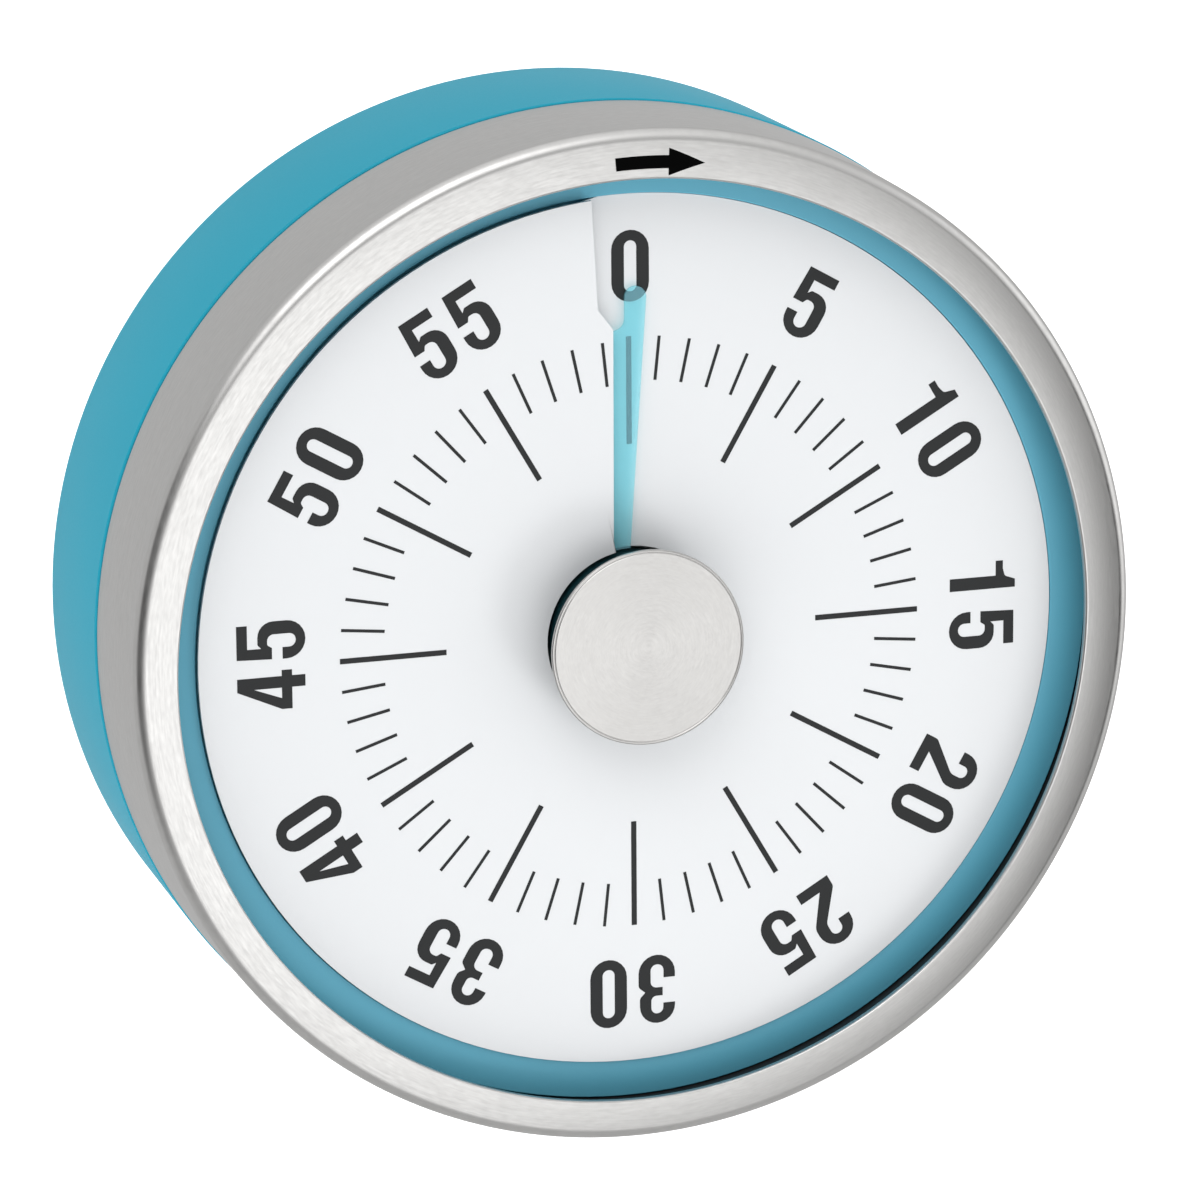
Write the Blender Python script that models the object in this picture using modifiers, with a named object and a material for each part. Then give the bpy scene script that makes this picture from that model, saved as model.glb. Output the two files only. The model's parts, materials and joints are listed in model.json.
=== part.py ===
"""A visual countdown kitchen timer: a round case with a steel bezel, a slit dial, and a coloured disc that
winds out of the slit as the knob is turned clockwise, driven back to zero by a small stepping movement.

Every piece is modelled in the face frame: x to the right, y up and z forwards, towards the person reading
the dial, with z = 0 on the magnet's rear face. The empty "face_frame" turns that frame upright, so the dial
faces -Y and its zero mark points to +Z. Lengths below are in millimetres.
"""

import math

import bmesh
import bpy
from mathutils import Matrix, Vector

MM = 0.001
TURN = 2 * math.pi

# Driving dimensions of the case.
BODY_RADIUS = 38.5
BODY_REAR_RADIUS = 38.2
BODY_BACK = 0.6
BODY_FRONT = 16.2
BODY_INNER_RADIUS = 36.75
SPIGOT_RADIUS = 37.1
SPIGOT_FRONT = 27.0
BEZEL_RADIUS = 38.3
BEZEL_FRONT_RADIUS = 38.15
BEZEL_INNER_RADIUS = 34.95
BEZEL_BACK = 16.5
BEZEL_FRONT = 28.2
RING_FRONT = 24.9
STEEL = 0.6
RING_SEGMENTS = 48

# The dial and the coloured disc are two thin screw surfaces of the same rise, each half a rise from the next.
DIAL_LEVEL = 25.0
DIAL_RADIUS = 32.9
DIAL_HOLE_RADIUS = 7.0
SHEET = 0.3
RISE = 1.1
LIP_OVERLAP = math.radians(10)
DISC_RADIUS = 22.9
DISC_SWEEP = math.radians(364)
LEADING_EDGE = math.radians(2.2)
POINTER_RADIUS = 26.15
POINTER_WIDTH = 1.7
HUB_RADIUS = 6.6
SHEET_STEP = math.radians(5)

# Knob and spindle.
CAP_RADIUS = 7.35
CAP_FRONT = 29.0
CAP_THICKNESS = 0.55
STEM_RADIUS = 3.3
SPINDLE_RADIUS = 1.5
PIVOT_RADIUS = 1.0

# Plates of the movement, and the train: module, teeth and place of each arbor.
CHASSIS = (21.7, 22.9)
MOVEMENT_PLATE = (12.0, 13.0)
CENTRE_TEETH, THIRD_TEETH, FOURTH_TEETH = 48, 48, 60
PINION_TEETH, ROTOR_TEETH = 8, 6
CENTRE_MODULE, THIRD_MODULE, FOURTH_MODULE = 0.40, 0.35, 0.28
TO_THIRD, TO_FOURTH, TO_ROTOR = math.radians(40), math.radians(130), math.radians(200)
ARBOR_RADIUS = 0.8
ARBOR_PIVOT = 0.45

# Rear cover, battery and magnet.
COVER = (0.8, 2.6)
COVER_RADIUS = 36.4
SCREW_CIRCLE = 33.6
SCREW_ANGLES = (60, 120, 200, 340)
BATTERY_RADIUS = 5.25
BATTERY_Y, BATTERY_Z = -18.6, 8.2
BATTERY_ENDS = (-21.7, 22.8)
DOOR_HALF_WIDTH = 24.0
DOOR_Y = (-24.75, -13.5)
DOOR_Z = (0.9, 2.3)
DOOR_HINGE = (-24.3, 1.9)
MAGNET_RADIUS = 10.5
SWITCH_X, SWITCH_Y = 15.7, 14.0
SWITCH_TRAVEL = 2.6
BUZZER = (0.0, 20.6)
BOARD = (8.6, 9.6)
BOARD_RADIUS = 27.0


# ---------------------------------------------------------------- scene, materials and placing

for old in list(bpy.data.objects):
    bpy.data.objects.remove(old, do_unlink=True)

PARTS = bpy.data.collections.new("kitchen_timer")
CUTTERS = bpy.data.collections.new("cutters")
for group in (PARTS, CUTTERS):
    bpy.context.scene.collection.children.link(group)

FACE_FRAME = bpy.data.objects.new("face_frame", None)
FACE_FRAME.rotation_euler = (math.radians(90), 0, 0)
PARTS.objects.link(FACE_FRAME)


def make_material(name, colour, roughness, metallic=0.0, alpha=1.0):
    material = bpy.data.materials.new(name)
    material.use_nodes = True
    shader = material.node_tree.nodes["Principled BSDF"]
    shader.inputs["Base Color"].default_value = (*colour, 1.0)
    shader.inputs["Roughness"].default_value = roughness
    shader.inputs["Metallic"].default_value = metallic
    shader.inputs["Alpha"].default_value = alpha
    material.diffuse_color = (*colour, alpha)
    return material


MATERIALS = {
    "teal_plastic": make_material("teal_plastic", (0.060, 0.365, 0.510), 0.42),
    "brushed_steel": make_material("brushed_steel", (0.62, 0.61, 0.59), 0.32, 1.0),
    "black_plastic": make_material("black_plastic", (0.012, 0.013, 0.014), 0.45),
    "dial_white": make_material("dial_white", (0.83, 0.85, 0.87), 0.45),
    "clear_teal": make_material("clear_teal", (0.18, 0.70, 0.78), 0.20, 0.0, 0.75),
    "knob_plastic": make_material("knob_plastic", (0.010, 0.060, 0.070), 0.40),
    "frame_plastic": make_material("frame_plastic", (0.60, 0.61, 0.58), 0.50),
    "gear_plastic": make_material("gear_plastic", (0.78, 0.74, 0.62), 0.45),
    "bright_steel": make_material("bright_steel", (0.66, 0.66, 0.67), 0.25, 1.0),
    "brass": make_material("brass", (0.72, 0.50, 0.20), 0.30, 1.0),
    "copper_wire": make_material("copper_wire", (0.62, 0.24, 0.10), 0.35, 1.0),
    "ferrite": make_material("ferrite", (0.035, 0.035, 0.038), 0.60),
    "circuit_board": make_material("circuit_board", (0.02, 0.16, 0.07), 0.50),
    "cell_wrap": make_material("cell_wrap", (0.16, 0.17, 0.18), 0.35),
    "red_wire": make_material("red_wire", (0.50, 0.02, 0.02), 0.45),
}


def in_metres(*values):
    return Vector([value * MM for value in values])


def on_circle(radius, angle):
    """The point at this radius, with the angle measured from +x towards +y."""
    return radius * math.cos(angle), radius * math.sin(angle)


def on_dial(radius, angle):
    """The point at this radius, with the angle measured clockwise from the zero mark."""
    return radius * math.sin(angle), radius * math.cos(angle)


def place(name, mesh, at=(0, 0, 0), material=None):
    """Adds the mesh as a part, or as a cutter where it has no material, with its origin at this point."""
    piece = bpy.data.objects.new(name, mesh)
    piece.parent = FACE_FRAME
    piece.location = in_metres(*at)
    if material is None:
        CUTTERS.objects.link(piece)
        piece.hide_render = True
        piece.display_type = "WIRE"
    else:
        PARTS.objects.link(piece)
        mesh.materials.append(MATERIALS[material])
    return piece


def smooth(piece, angle=35):
    piece.data.shade_smooth()
    piece.data.set_sharp_from_angle(angle=math.radians(angle))
    return piece


def boolean(piece, operation, others):
    for other in others:
        modifier = piece.modifiers.new(other.name, "BOOLEAN")
        modifier.operation = operation
        modifier.object = other
        modifier.solver = "EXACT"
    return piece


def cut(piece, *others):
    return boolean(piece, "DIFFERENCE", others)


def unite(piece, *others):
    return boolean(piece, "UNION", others)


# ---------------------------------------------------------------- shapes


def rounded(corners, steps=3):
    """A closed outline from (u, v, fillet radius) corners, with each filleted corner as an arc of points."""
    points = []
    count = len(corners)
    for index, (u, v, radius) in enumerate(corners):
        corner = Vector((u, v))
        if not radius:
            points.append(corner)
            continue
        before = (Vector(corners[index - 1][:2]) - corner).normalized()
        after = (Vector(corners[(index + 1) % count][:2]) - corner).normalized()
        half = before.angle(after) / 2
        reach = radius / math.tan(half)
        centre = corner + (before + after).normalized() * radius / math.sin(half)
        start = corner + before * reach - centre
        sweep = start.angle_signed(corner + after * reach - centre)
        for step in range(steps + 1):
            # angle_signed is clockwise, and a 2D rotation is anticlockwise.
            points.append(centre + Matrix.Rotation(-sweep * step / steps, 2) @ start)
    return points


def area_of(points):
    pairs = zip(points, points[1:] + points[:1])
    return sum(a[0] * b[1] - b[0] * a[1] for a, b in pairs) / 2


def turned(name, corners, at=(0, 0, 0), material=None, segments=RING_SEGMENTS, steps=3):
    """A turned solid from the (radius, z, fillet) corners of its section; a section on the axis is left open."""
    points = rounded(corners, steps)
    if area_of(points) > 0:
        points.reverse()
    closed = min(point[0] for point in points) > 1e-6
    if not closed:
        while not (points[0][0] < 1e-6 and points[-1][0] < 1e-6):
            points.append(points.pop(0))
    mesh = bpy.data.meshes.new(name)
    edges = [(i, i + 1) for i in range(len(points) - 1)]
    if closed:
        edges.append((len(points) - 1, 0))
    mesh.from_pydata([in_metres(r, 0, z) for r, z in points], edges, [])
    piece = place(name, mesh, at, material)
    screw = piece.modifiers.new("turn", "SCREW")
    screw.steps = screw.render_steps = segments
    screw.use_merge_vertices = True
    screw.merge_threshold = 1e-6
    screw.use_smooth_shade = True
    return piece


def prism(name, outline, low, high, at=(0, 0, 0), material=None):
    """A flat outline, given anticlockwise in x and y, raised from one depth to the other."""
    work = bmesh.new()
    face = work.faces.new([work.verts.new(in_metres(x, y, low)) for x, y in outline])
    raised = bmesh.ops.extrude_face_region(work, geom=[face])
    moved = [item for item in raised["geom"] if isinstance(item, bmesh.types.BMVert)]
    bmesh.ops.translate(work, verts=moved, vec=in_metres(0, 0, high - low))
    bmesh.ops.recalc_face_normals(work, faces=work.faces)
    mesh = bpy.data.meshes.new(name)
    work.to_mesh(mesh)
    work.free()
    return place(name, mesh, at, material)


def rod(name, radius, low, high, at=(0, 0, 0), material=None, segments=16, along="z"):
    """A plain cylinder from one end to the other along the named axis."""
    work = bmesh.new()
    middle = Matrix.Translation((0, 0, (low + high) / 2 * MM))
    turn = {"z": Matrix(), "x": Matrix.Rotation(TURN / 4, 4, "Y"), "y": Matrix.Rotation(-TURN / 4, 4, "X")}[along]
    bmesh.ops.create_cone(
        work,
        cap_ends=True,
        segments=segments,
        radius1=radius * MM,
        radius2=radius * MM,
        depth=(high - low) * MM,
        matrix=turn @ middle,
    )
    mesh = bpy.data.meshes.new(name)
    work.to_mesh(mesh)
    work.free()
    piece = place(name, mesh, at, material)
    return smooth(piece)


def block(name, low, high, at=(0, 0, 0), material=None, edge=0.0):
    """A box between two corners, with its edges bevelled by the given amount."""
    low, high = in_metres(*low), in_metres(*high)
    work = bmesh.new()
    bmesh.ops.create_cube(work, size=1.0)
    size = Matrix.Diagonal((*(high - low), 1.0))
    bmesh.ops.transform(work, matrix=Matrix.Translation((low + high) / 2) @ size, verts=work.verts)
    mesh = bpy.data.meshes.new(name)
    work.to_mesh(mesh)
    work.free()
    piece = place(name, mesh, at, material)
    if edge:
        bevel = piece.modifiers.new("edges", "BEVEL")
        bevel.width = edge * MM
        bevel.segments = 1
    return piece


def screw_sheet(name, inner, outer, start, sweep, level, material=None):
    """A thin annular sheet that climbs RISE in each clockwise turn, from the dial angle start.

    level is the height of its middle surface where the dial angle is zero.
    """
    mesh = bpy.data.meshes.new(name)
    ends = [(*on_dial(radius, start), level + RISE * start / TURN) for radius in (inner, outer)]
    mesh.from_pydata([in_metres(*end) for end in ends], [(0, 1)], [])
    piece = place(name, mesh, (0, 0, 0), material)
    screw = piece.modifiers.new("climb", "SCREW")
    screw.angle = -sweep
    screw.screw_offset = RISE * sweep / TURN * MM
    screw.steps = screw.render_steps = round(sweep / SHEET_STEP)
    screw.use_merge_vertices = False
    thick = piece.modifiers.new("thickness", "SOLIDIFY")
    thick.thickness = SHEET * MM
    thick.offset = 0
    return piece


def bar_outline(low, high, corner=0.0, steps=3):
    """A rectangle in x and y, with round corners."""
    (x0, y0), (x1, y1) = low, high
    return rounded([(x0, y0, corner), (x1, y0, corner), (x1, y1, corner), (x0, y1, corner)], steps)


def gear_outline(teeth, module, facing, tooth_there=True, backlash=0.42, round_tips=False):
    """A clock gear's outline. A tooth, or else a gap, is centred on the angle facing.

    The flanks are radial inside the pitch circle, as on clock pinions, and straight or tapering outside it.
    """
    pitch = teeth * module / 2
    root, tip = pitch - 1.2 * module, pitch + 0.75 * module
    half = (math.pi * module / 2 - backlash * module) / 2 / pitch
    tip_half = half * pitch / tip - 0.28 * module / tip
    if round_tips:
        flank = [(root, -half), (pitch, -half), (tip, -tip_half), (tip, tip_half), (pitch, half), (root, half)]
    else:
        root_half = half + 0.10 * module / root
        flank = [(root, -root_half), (tip, -tip_half), (tip, tip_half), (root, root_half)]
    first = facing + (0 if tooth_there else math.pi / teeth)
    return [
        on_circle(radius, first + TURN * tooth / teeth + angle) for tooth in range(teeth) for radius, angle in flank
    ]


# ---------------------------------------------------------------- case


def screw_places():
    return [on_circle(SCREW_CIRCLE, math.radians(angle)) for angle in SCREW_ANGLES]


def make_body_shell():
    inner = BODY_INNER_RADIUS
    ledge = (20.2, 21.4)
    spigot_inner = SPIGOT_RADIUS - 0.65
    shell = turned(
        "body_shell",
        [
            (spigot_inner, SPIGOT_FRONT, 0),
            (SPIGOT_RADIUS, SPIGOT_FRONT, 0),
            (SPIGOT_RADIUS, BODY_FRONT, 0),
            (BODY_RADIUS, BODY_FRONT, 0.5),
            (BODY_REAR_RADIUS, BODY_BACK, 0.7),
            (inner, BODY_BACK, 0),
            (inner, ledge[0], 0),
            (inner - 2.2, ledge[0], 0),
            (inner - 2.2, ledge[1], 0),
            (spigot_inner, ledge[1], 0),
        ],
        material="teal_plastic",
    )
    for index, (x, y) in enumerate(screw_places()):
        boss = rod(f"boss_{index}", 3.3, 3.0, sum(ledge) / 2, (x, y, 0))
        pilot = rod(f"pilot_{index}", 0.95, 2.0, 14.0, (x, y, 0), segments=12)
        unite(shell, boss)
        cut(shell, pilot)


def make_bezel():
    turned(
        "bezel",
        [
            (BEZEL_INNER_RADIUS, BEZEL_FRONT - STEEL, 0),
            (BEZEL_INNER_RADIUS, BEZEL_FRONT, 0.4),
            (BEZEL_FRONT_RADIUS, BEZEL_FRONT, 1.0),
            (BEZEL_RADIUS, BEZEL_BACK, 0),
            (BEZEL_RADIUS - STEEL, BEZEL_BACK, 0),
            (BEZEL_FRONT_RADIUS - STEEL, BEZEL_FRONT - STEEL, 0.4),
        ],
        material="brushed_steel",
    )
    turned(
        "bezel_gasket",
        [(35.9, 24.55, 0), (35.9, 27.4, 0), (36.25, 27.4, 0), (36.25, 24.55, 0)],
        material="black_plastic",
    )


def make_front_ring():
    turned(
        "front_ring",
        [
            (31.0, 23.1, 0),
            (31.0, 23.7, 0),
            (DIAL_RADIUS + 0.15, 23.7, 0),
            (DIAL_RADIUS + 0.15, RING_FRONT, 0.2),
            (35.75, RING_FRONT - 0.1, 0),
            (35.75, 23.1, 0),
        ],
        material="teal_plastic",
        steps=2,
    )


def make_rear_cover():
    cover = rod("rear_cover", COVER_RADIUS, *COVER, material="teal_plastic", segments=RING_SEGMENTS)
    unite(cover, rod("magnet_cup", MAGNET_RADIUS + 2.2, COVER[0] + 0.2, 5.6, segments=32))
    cut(cover, rod("magnet_recess", MAGNET_RADIUS + 1.2, 0.0, 4.3, segments=32))
    side = DOOR_HALF_WIDTH + 0.4
    for sign in (-1, 1):
        low, high = sorted((sign * side, sign * (side + 1.5)))
        unite(cover, block(f"door_frame_{sign}", (low, -25.2, 2.3), (high, -12.5, 4.2)))
        unite(cover, rod(f"board_post_{sign}", 1.5, COVER[1] - 0.2, BOARD[0] - 0.2, (sign * 23.3, 7.5, 0)))
    cut(cover, block("door_opening", (-side, DOOR_HINGE[0] - 1.35, 0.0), (side, DOOR_Y[1] + 0.4, 6.0)))
    hinge_bore = rod("door_hinge_bore", 0.75, -side - 1.1, side + 1.1, (0, *DOOR_HINGE), segments=12, along="x")
    cut(cover, hinge_bore)
    for index, (x, y) in enumerate(screw_places()):
        cut(cover, rod(f"counterbore_{index}", 2.3, 0.0, 1.7, (x, y, 0)))
        cut(cover, rod(f"screw_hole_{index}", 1.05, 1.0, 4.0, (x, y, 0), segments=12))
    for sign in (-1, 1):
        middle = sign * (SWITCH_X + SWITCH_TRAVEL / 2)
        slot = bar_outline((middle - 3.3, SWITCH_Y - 1.4), (middle + 3.3, SWITCH_Y + 1.4), 0.5, 1)
        cut(cover, prism(f"switch_slot_{sign}", slot, 0.0, 4.0))
    for index in range(7):
        x, y = on_circle(3.2 if index else 0.0, TURN * index / 6)
        cut(cover, rod(f"sound_hole_{index}", 0.8, 0.0, 4.0, (BUZZER[0] + x, BUZZER[1] + y, 0), segments=8))


def make_battery_door():
    """The door pivots on two pins near its lower edge. Its origin is on that axis."""
    low, high = (value - DOOR_HINGE[0] for value in DOOR_Y)
    back, front = (value - DOOR_HINGE[1] for value in DOOR_Z)
    size = (DOOR_HALF_WIDTH, high, front)
    door = block("battery_door", (-DOOR_HALF_WIDTH, low, back), size, (0, *DOOR_HINGE), "teal_plastic", 0.15)
    reach = DOOR_HALF_WIDTH + 1.2
    unite(door, rod("door_pins", 0.4, -reach, reach, (0, *DOOR_HINGE), segments=12, along="x"))
    for index in range(4):
        y = high - 2.0 - 0.9 * index
        cut(door, block(f"grip_groove_{index}", (-4.5, y, back - 1), (4.5, y + 0.45, back + 0.35), (0, *DOOR_HINGE)))


def make_screw(name, x, y, head_radius, head_low, head_high, shank_radius, tip):
    """A pan-head screw with a cross recess, driven forwards from the rear."""
    screw = rod(name, head_radius, head_low, head_high, (x, y, 0), "bright_steel")
    unite(screw, rod(f"{name}_shank", shank_radius, head_high - 0.1, tip, (x, y, 0), segments=10))
    for arm, turn in (("x", (1.2, 0.25)), ("y", (0.25, 1.2))):
        wide, tall = (value * head_radius / 2.0 for value in turn)
        low, high = (-wide, -tall, head_low - 1), (wide, tall, head_low + 0.4)
        cut(screw, block(f"{name}_recess_{arm}", low, high, (x, y, 0)))


# ---------------------------------------------------------------- dial, coloured disc and knob


def make_dial():
    """The dial is slit at zero: its right lip starts low under its left lip, which ends high."""
    dial = screw_sheet(
        "dial",
        DIAL_HOLE_RADIUS,
        DIAL_RADIUS,
        -LIP_OVERLAP,
        TURN + LIP_OVERLAP - math.radians(2.0),
        DIAL_LEVEL - RISE / 2,
        "dial_white",
    )
    # The left lip's edge steps outwards where the pointer's tip passes it.
    edge = [(-1.0, 5.0), (-0.85, DISC_RADIUS), (-2.2, 25.5), (-2.6, 34.0), (0.6, 34.0), (0.6, 5.0)]
    cut(dial, prism("lip_cutter", edge, DIAL_LEVEL + 0.1, DIAL_LEVEL + 2.0))


def make_time_disc():
    disc = screw_sheet(
        "time_disc",
        HUB_RADIUS + 0.15,
        DISC_RADIUS,
        LEADING_EDGE - DISC_SWEEP,
        DISC_SWEEP,
        DIAL_LEVEL,
        "clear_teal",
    )
    level = DIAL_LEVEL + RISE * LEADING_EDGE / TURN
    half = POINTER_WIDTH / 2
    tip = rounded([(-half, 20.0, 0), (half, 20.0, 0), (half, POINTER_RADIUS, half), (-half, POINTER_RADIUS, half)])
    tab = prism("pointer_tip", tip, level - 0.16, level + 0.14)
    tab.rotation_euler.z = -LEADING_EDGE + half / POINTER_RADIUS
    unite(disc, tab)


def make_disc_hub():
    """The disc's sleeve slides on the knob's stem, because the disc rises as it unwinds."""
    bore = STEM_RADIUS + 0.3
    turned(
        "disc_hub",
        [(bore, 23.55, 0), (bore, 26.45, 0), (HUB_RADIUS, 26.45, 0.3), (HUB_RADIUS, 23.55, 0)],
        material="knob_plastic",
        segments=32,
        steps=2,
    )


def make_knob():
    turned(
        "knob_cap",
        [
            (0, CAP_FRONT, 0),
            (CAP_RADIUS, CAP_FRONT, 0.25),
            (CAP_RADIUS, CAP_FRONT - CAP_THICKNESS, 0),
            (0, CAP_FRONT - CAP_THICKNESS, 0),
        ],
        material="brushed_steel",
        segments=48,
        steps=2,
    )
    plate = CAP_FRONT - CAP_THICKNESS - 0.1
    turned(
        "knob_core",
        [
            (0, plate, 0),
            (HUB_RADIUS, plate, 0),
            (HUB_RADIUS, plate - 0.6, 0),
            (STEM_RADIUS, plate - 0.6, 0),
            (STEM_RADIUS, 23.5, 0),
            (SPINDLE_RADIUS + 0.2, 23.5, 0),
            (SPINDLE_RADIUS + 0.2, 27.5, 0),
            (0, 27.5, 0),
        ],
        material="knob_plastic",
        segments=32,
    )


def make_spindle():
    spindle = rod("spindle", SPINDLE_RADIUS, 13.5, 27.3, material="bright_steel")
    unite(spindle, rod("spindle_pivot", PIVOT_RADIUS, 10.9, 13.7))
    fitted_rings = (
        ("spindle_bush", SPINDLE_RADIUS + 0.08, 2.8, 21.55, 23.15, "brass"),
        ("pivot_bush", PIVOT_RADIUS + 0.08, 2.4, 11.85, 13.15, "brass"),
        ("clutch_collar", SPINDLE_RADIUS + 0.1, 3.0, 20.9, 21.35, "brass"),
        ("clutch_spring", SPINDLE_RADIUS + 0.1, 4.0, 18.85, 19.2, "bright_steel"),
        ("clutch_retainer", SPINDLE_RADIUS + 0.1, 2.6, 18.3, 18.65, "brass"),
        ("spindle_clip", PIVOT_RADIUS + 0.1, 2.2, 11.2, 11.6, "bright_steel"),
    )
    for name, bore, radius, low, high, material in fitted_rings:
        section = [(bore, low, 0), (bore, high, 0), (radius, high, 0), (radius, low, 0)]
        turned(name, section, material=material, segments=16)


# ---------------------------------------------------------------- movement


def arbor_places():
    """The third, fourth and rotor arbors, each at the exact distance its gears need."""
    third = Vector(on_circle(CENTRE_MODULE * (CENTRE_TEETH + PINION_TEETH) / 2, TO_THIRD))
    fourth = third + Vector(on_circle(THIRD_MODULE * (THIRD_TEETH + PINION_TEETH) / 2, TO_FOURTH))
    rotor = fourth + Vector(on_circle(FOURTH_MODULE * (FOURTH_TEETH + ROTOR_TEETH) / 2, TO_ROTOR))
    return third, fourth, rotor


def make_centre_wheel():
    outline = gear_outline(CENTRE_TEETH, CENTRE_MODULE, TO_THIRD)
    wheel = prism("centre_wheel", outline, 19.6, 20.4, material="gear_plastic")
    unite(wheel, rod("centre_boss", 3.0, 19.4, 20.7))
    cut(wheel, rod("centre_bore", SPINDLE_RADIUS + 0.08, 19.0, 21.0))


def make_wheel(name, at, wheel, pinion):
    """A moulded wheel: its gear, its pinion and its arbor are one piece, with a pivot at each end."""
    gear = prism(name, wheel[0], *wheel[1:], at=at, material="gear_plastic")
    unite(gear, prism(f"{name}_pinion", pinion[0], *pinion[1:], at=at))
    unite(gear, rod(f"{name}_arbor", ARBOR_RADIUS, 13.4, 21.3, at, segments=12))
    unite(gear, rod(f"{name}_pivots", ARBOR_PIVOT, 12.2, 22.6, at, segments=10))


def make_train():
    third, fourth, rotor = arbor_places()
    half_turn = math.pi
    make_centre_wheel()
    make_wheel(
        "third_wheel",
        (*third, 0),
        (gear_outline(THIRD_TEETH, THIRD_MODULE, TO_FOURTH), 17.2, 17.9),
        (gear_outline(PINION_TEETH, CENTRE_MODULE, TO_THIRD + half_turn, False, round_tips=True), 19.3, 20.8),
    )
    make_wheel(
        "fourth_wheel",
        (*fourth, 0),
        (gear_outline(FOURTH_TEETH, FOURTH_MODULE, TO_ROTOR), 15.2, 15.8),
        (gear_outline(PINION_TEETH, THIRD_MODULE, TO_FOURTH + half_turn, False, round_tips=True), 16.9, 18.2),
    )
    pinion = gear_outline(ROTOR_TEETH, FOURTH_MODULE, TO_ROTOR + half_turn, False, round_tips=True)
    shaft = prism("rotor_pinion", pinion, 14.9, 16.2, at=(*rotor, 0), material="gear_plastic")
    unite(shaft, rod("rotor_arbor", 0.4, 12.2, 22.6, (*rotor, 0), segments=10))
    section = [(0.6, 17.0, 0), (0.6, 20.0, 0), (2.0, 20.0, 0), (2.0, 17.0, 0)]
    turned("rotor_magnet", section, (*rotor, 0), "ferrite", 16)


def make_plates():
    third, fourth, rotor = arbor_places()
    pillars = ((14.5, 20.5), (-20.0, -8.5), (16.0, -8.5))
    chassis = rod("chassis_plate", 36.2, *CHASSIS, material="frame_plastic", segments=RING_SEGMENTS)
    outline = bar_outline((-24.0, -11.6), (20.0, 24.5), 8.0)
    plate = prism("movement_plate", outline, *MOVEMENT_PLATE, material="frame_plastic")
    for index, (x, y) in enumerate(pillars):
        unite(chassis, rod(f"pillar_{index}", 2.0, MOVEMENT_PLATE[1] + 0.2, CHASSIS[0] + 0.2, (x, y, 0)))
        cut(chassis, rod(f"pillar_hole_{index}", 0.75, 12.5, 19.5, (x, y, 0), segments=8))
        cut(plate, rod(f"plate_hole_{index}", 0.85, 11.0, 14.0, (x, y, 0), segments=8))
        make_screw(f"movement_screw_{index + 1}", x, y, 1.8, 11.0, 11.8, 0.55, 18.5)
    cut(chassis, rod("spindle_bush_seat", 3.0, 21.0, 24.0))
    cut(plate, rod("pivot_bush_seat", 2.6, 11.0, 14.0))
    for index, (x, y) in enumerate((third, fourth, rotor)):
        cut(chassis, rod(f"front_pivot_{index}", ARBOR_PIVOT + 0.1, 21.0, 24.0, (x, y, 0), segments=10))
        cut(plate, rod(f"rear_pivot_{index}", ARBOR_PIVOT + 0.1, 11.0, 14.0, (x, y, 0), segments=10))


def make_motor():
    """The stepping motor: a C-shaped stator round the rotor magnet, closed by the core through the coil."""
    rotor = arbor_places()[2]
    coil_x, coil_y, coil_z = -17.5, 11.5, 17.5
    outline = [(-19, 2.5), (-3.2, 2.5), (-3.2, 20.5), (-19, 20.5), (-19, 17.5), (-10, 17.5), (-10, 5.5), (-19, 5.5)]
    stator = prism("stator", outline, 18.1, 18.9, material="bright_steel")
    cut(stator, rod("stator_bore", 2.5, 17.0, 20.0, (*rotor, 0)))
    block("coil_core", (coil_x - 1.1, 2.6, 17.1), (coil_x + 1.1, 20.4, 17.9), material="bright_steel")
    centre = (coil_x, coil_y, coil_z)
    bobbin = rod("coil_bobbin", 1.9, -5.4, 5.4, centre, "black_plastic", along="y")
    for sign in (-1, 1):
        low, high = sorted((sign * 5.5, sign * 4.8))
        unite(bobbin, rod(f"bobbin_flange_{sign}", 3.5, low, high, centre, along="y"))
    cut(bobbin, block("bobbin_window", (-1.35, -7, -0.6), (1.35, 7, 0.6), centre))
    section = [(2.05, -4.6, 0), (2.05, 4.6, 0), (3.2, 4.6, 0), (3.2, -4.6, 0)]
    winding = turned("coil_winding", section, centre, "copper_wire", 16)
    winding.rotation_euler.x = math.radians(90)


# ---------------------------------------------------------------- electrics


def make_board():
    chord = math.asin(4.0 / BOARD_RADIUS)
    arc = [on_circle(BOARD_RADIUS, chord + (math.pi - 2 * chord) * step / 20) for step in range(21)]
    prism("circuit_board", arc, *BOARD, material="circuit_board")
    turned("chip", [(0, 9.75, 0), (3.0, 9.75, 0), (2.2, 10.6, 0.3), (0, 10.9, 0)], (6.0, 11.0, 0), "black_plastic", 16)
    rod("quartz_crystal", 1.0, -3.0, 3.0, (-7.0, 10.0, 7.4), "bright_steel", 12, "x")
    rod("capacitor", 1.2, -2.2, 2.2, (7.5, 10.0, 7.2), "black_plastic", 12, "x")
    buzzer = rod("buzzer", 6.0, 3.2, 8.4, (*BUZZER, 0), "black_plastic", 24)
    cut(buzzer, rod("buzzer_mouth", 1.2, 2.0, 6.0, (*BUZZER, 0), segments=12))


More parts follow.
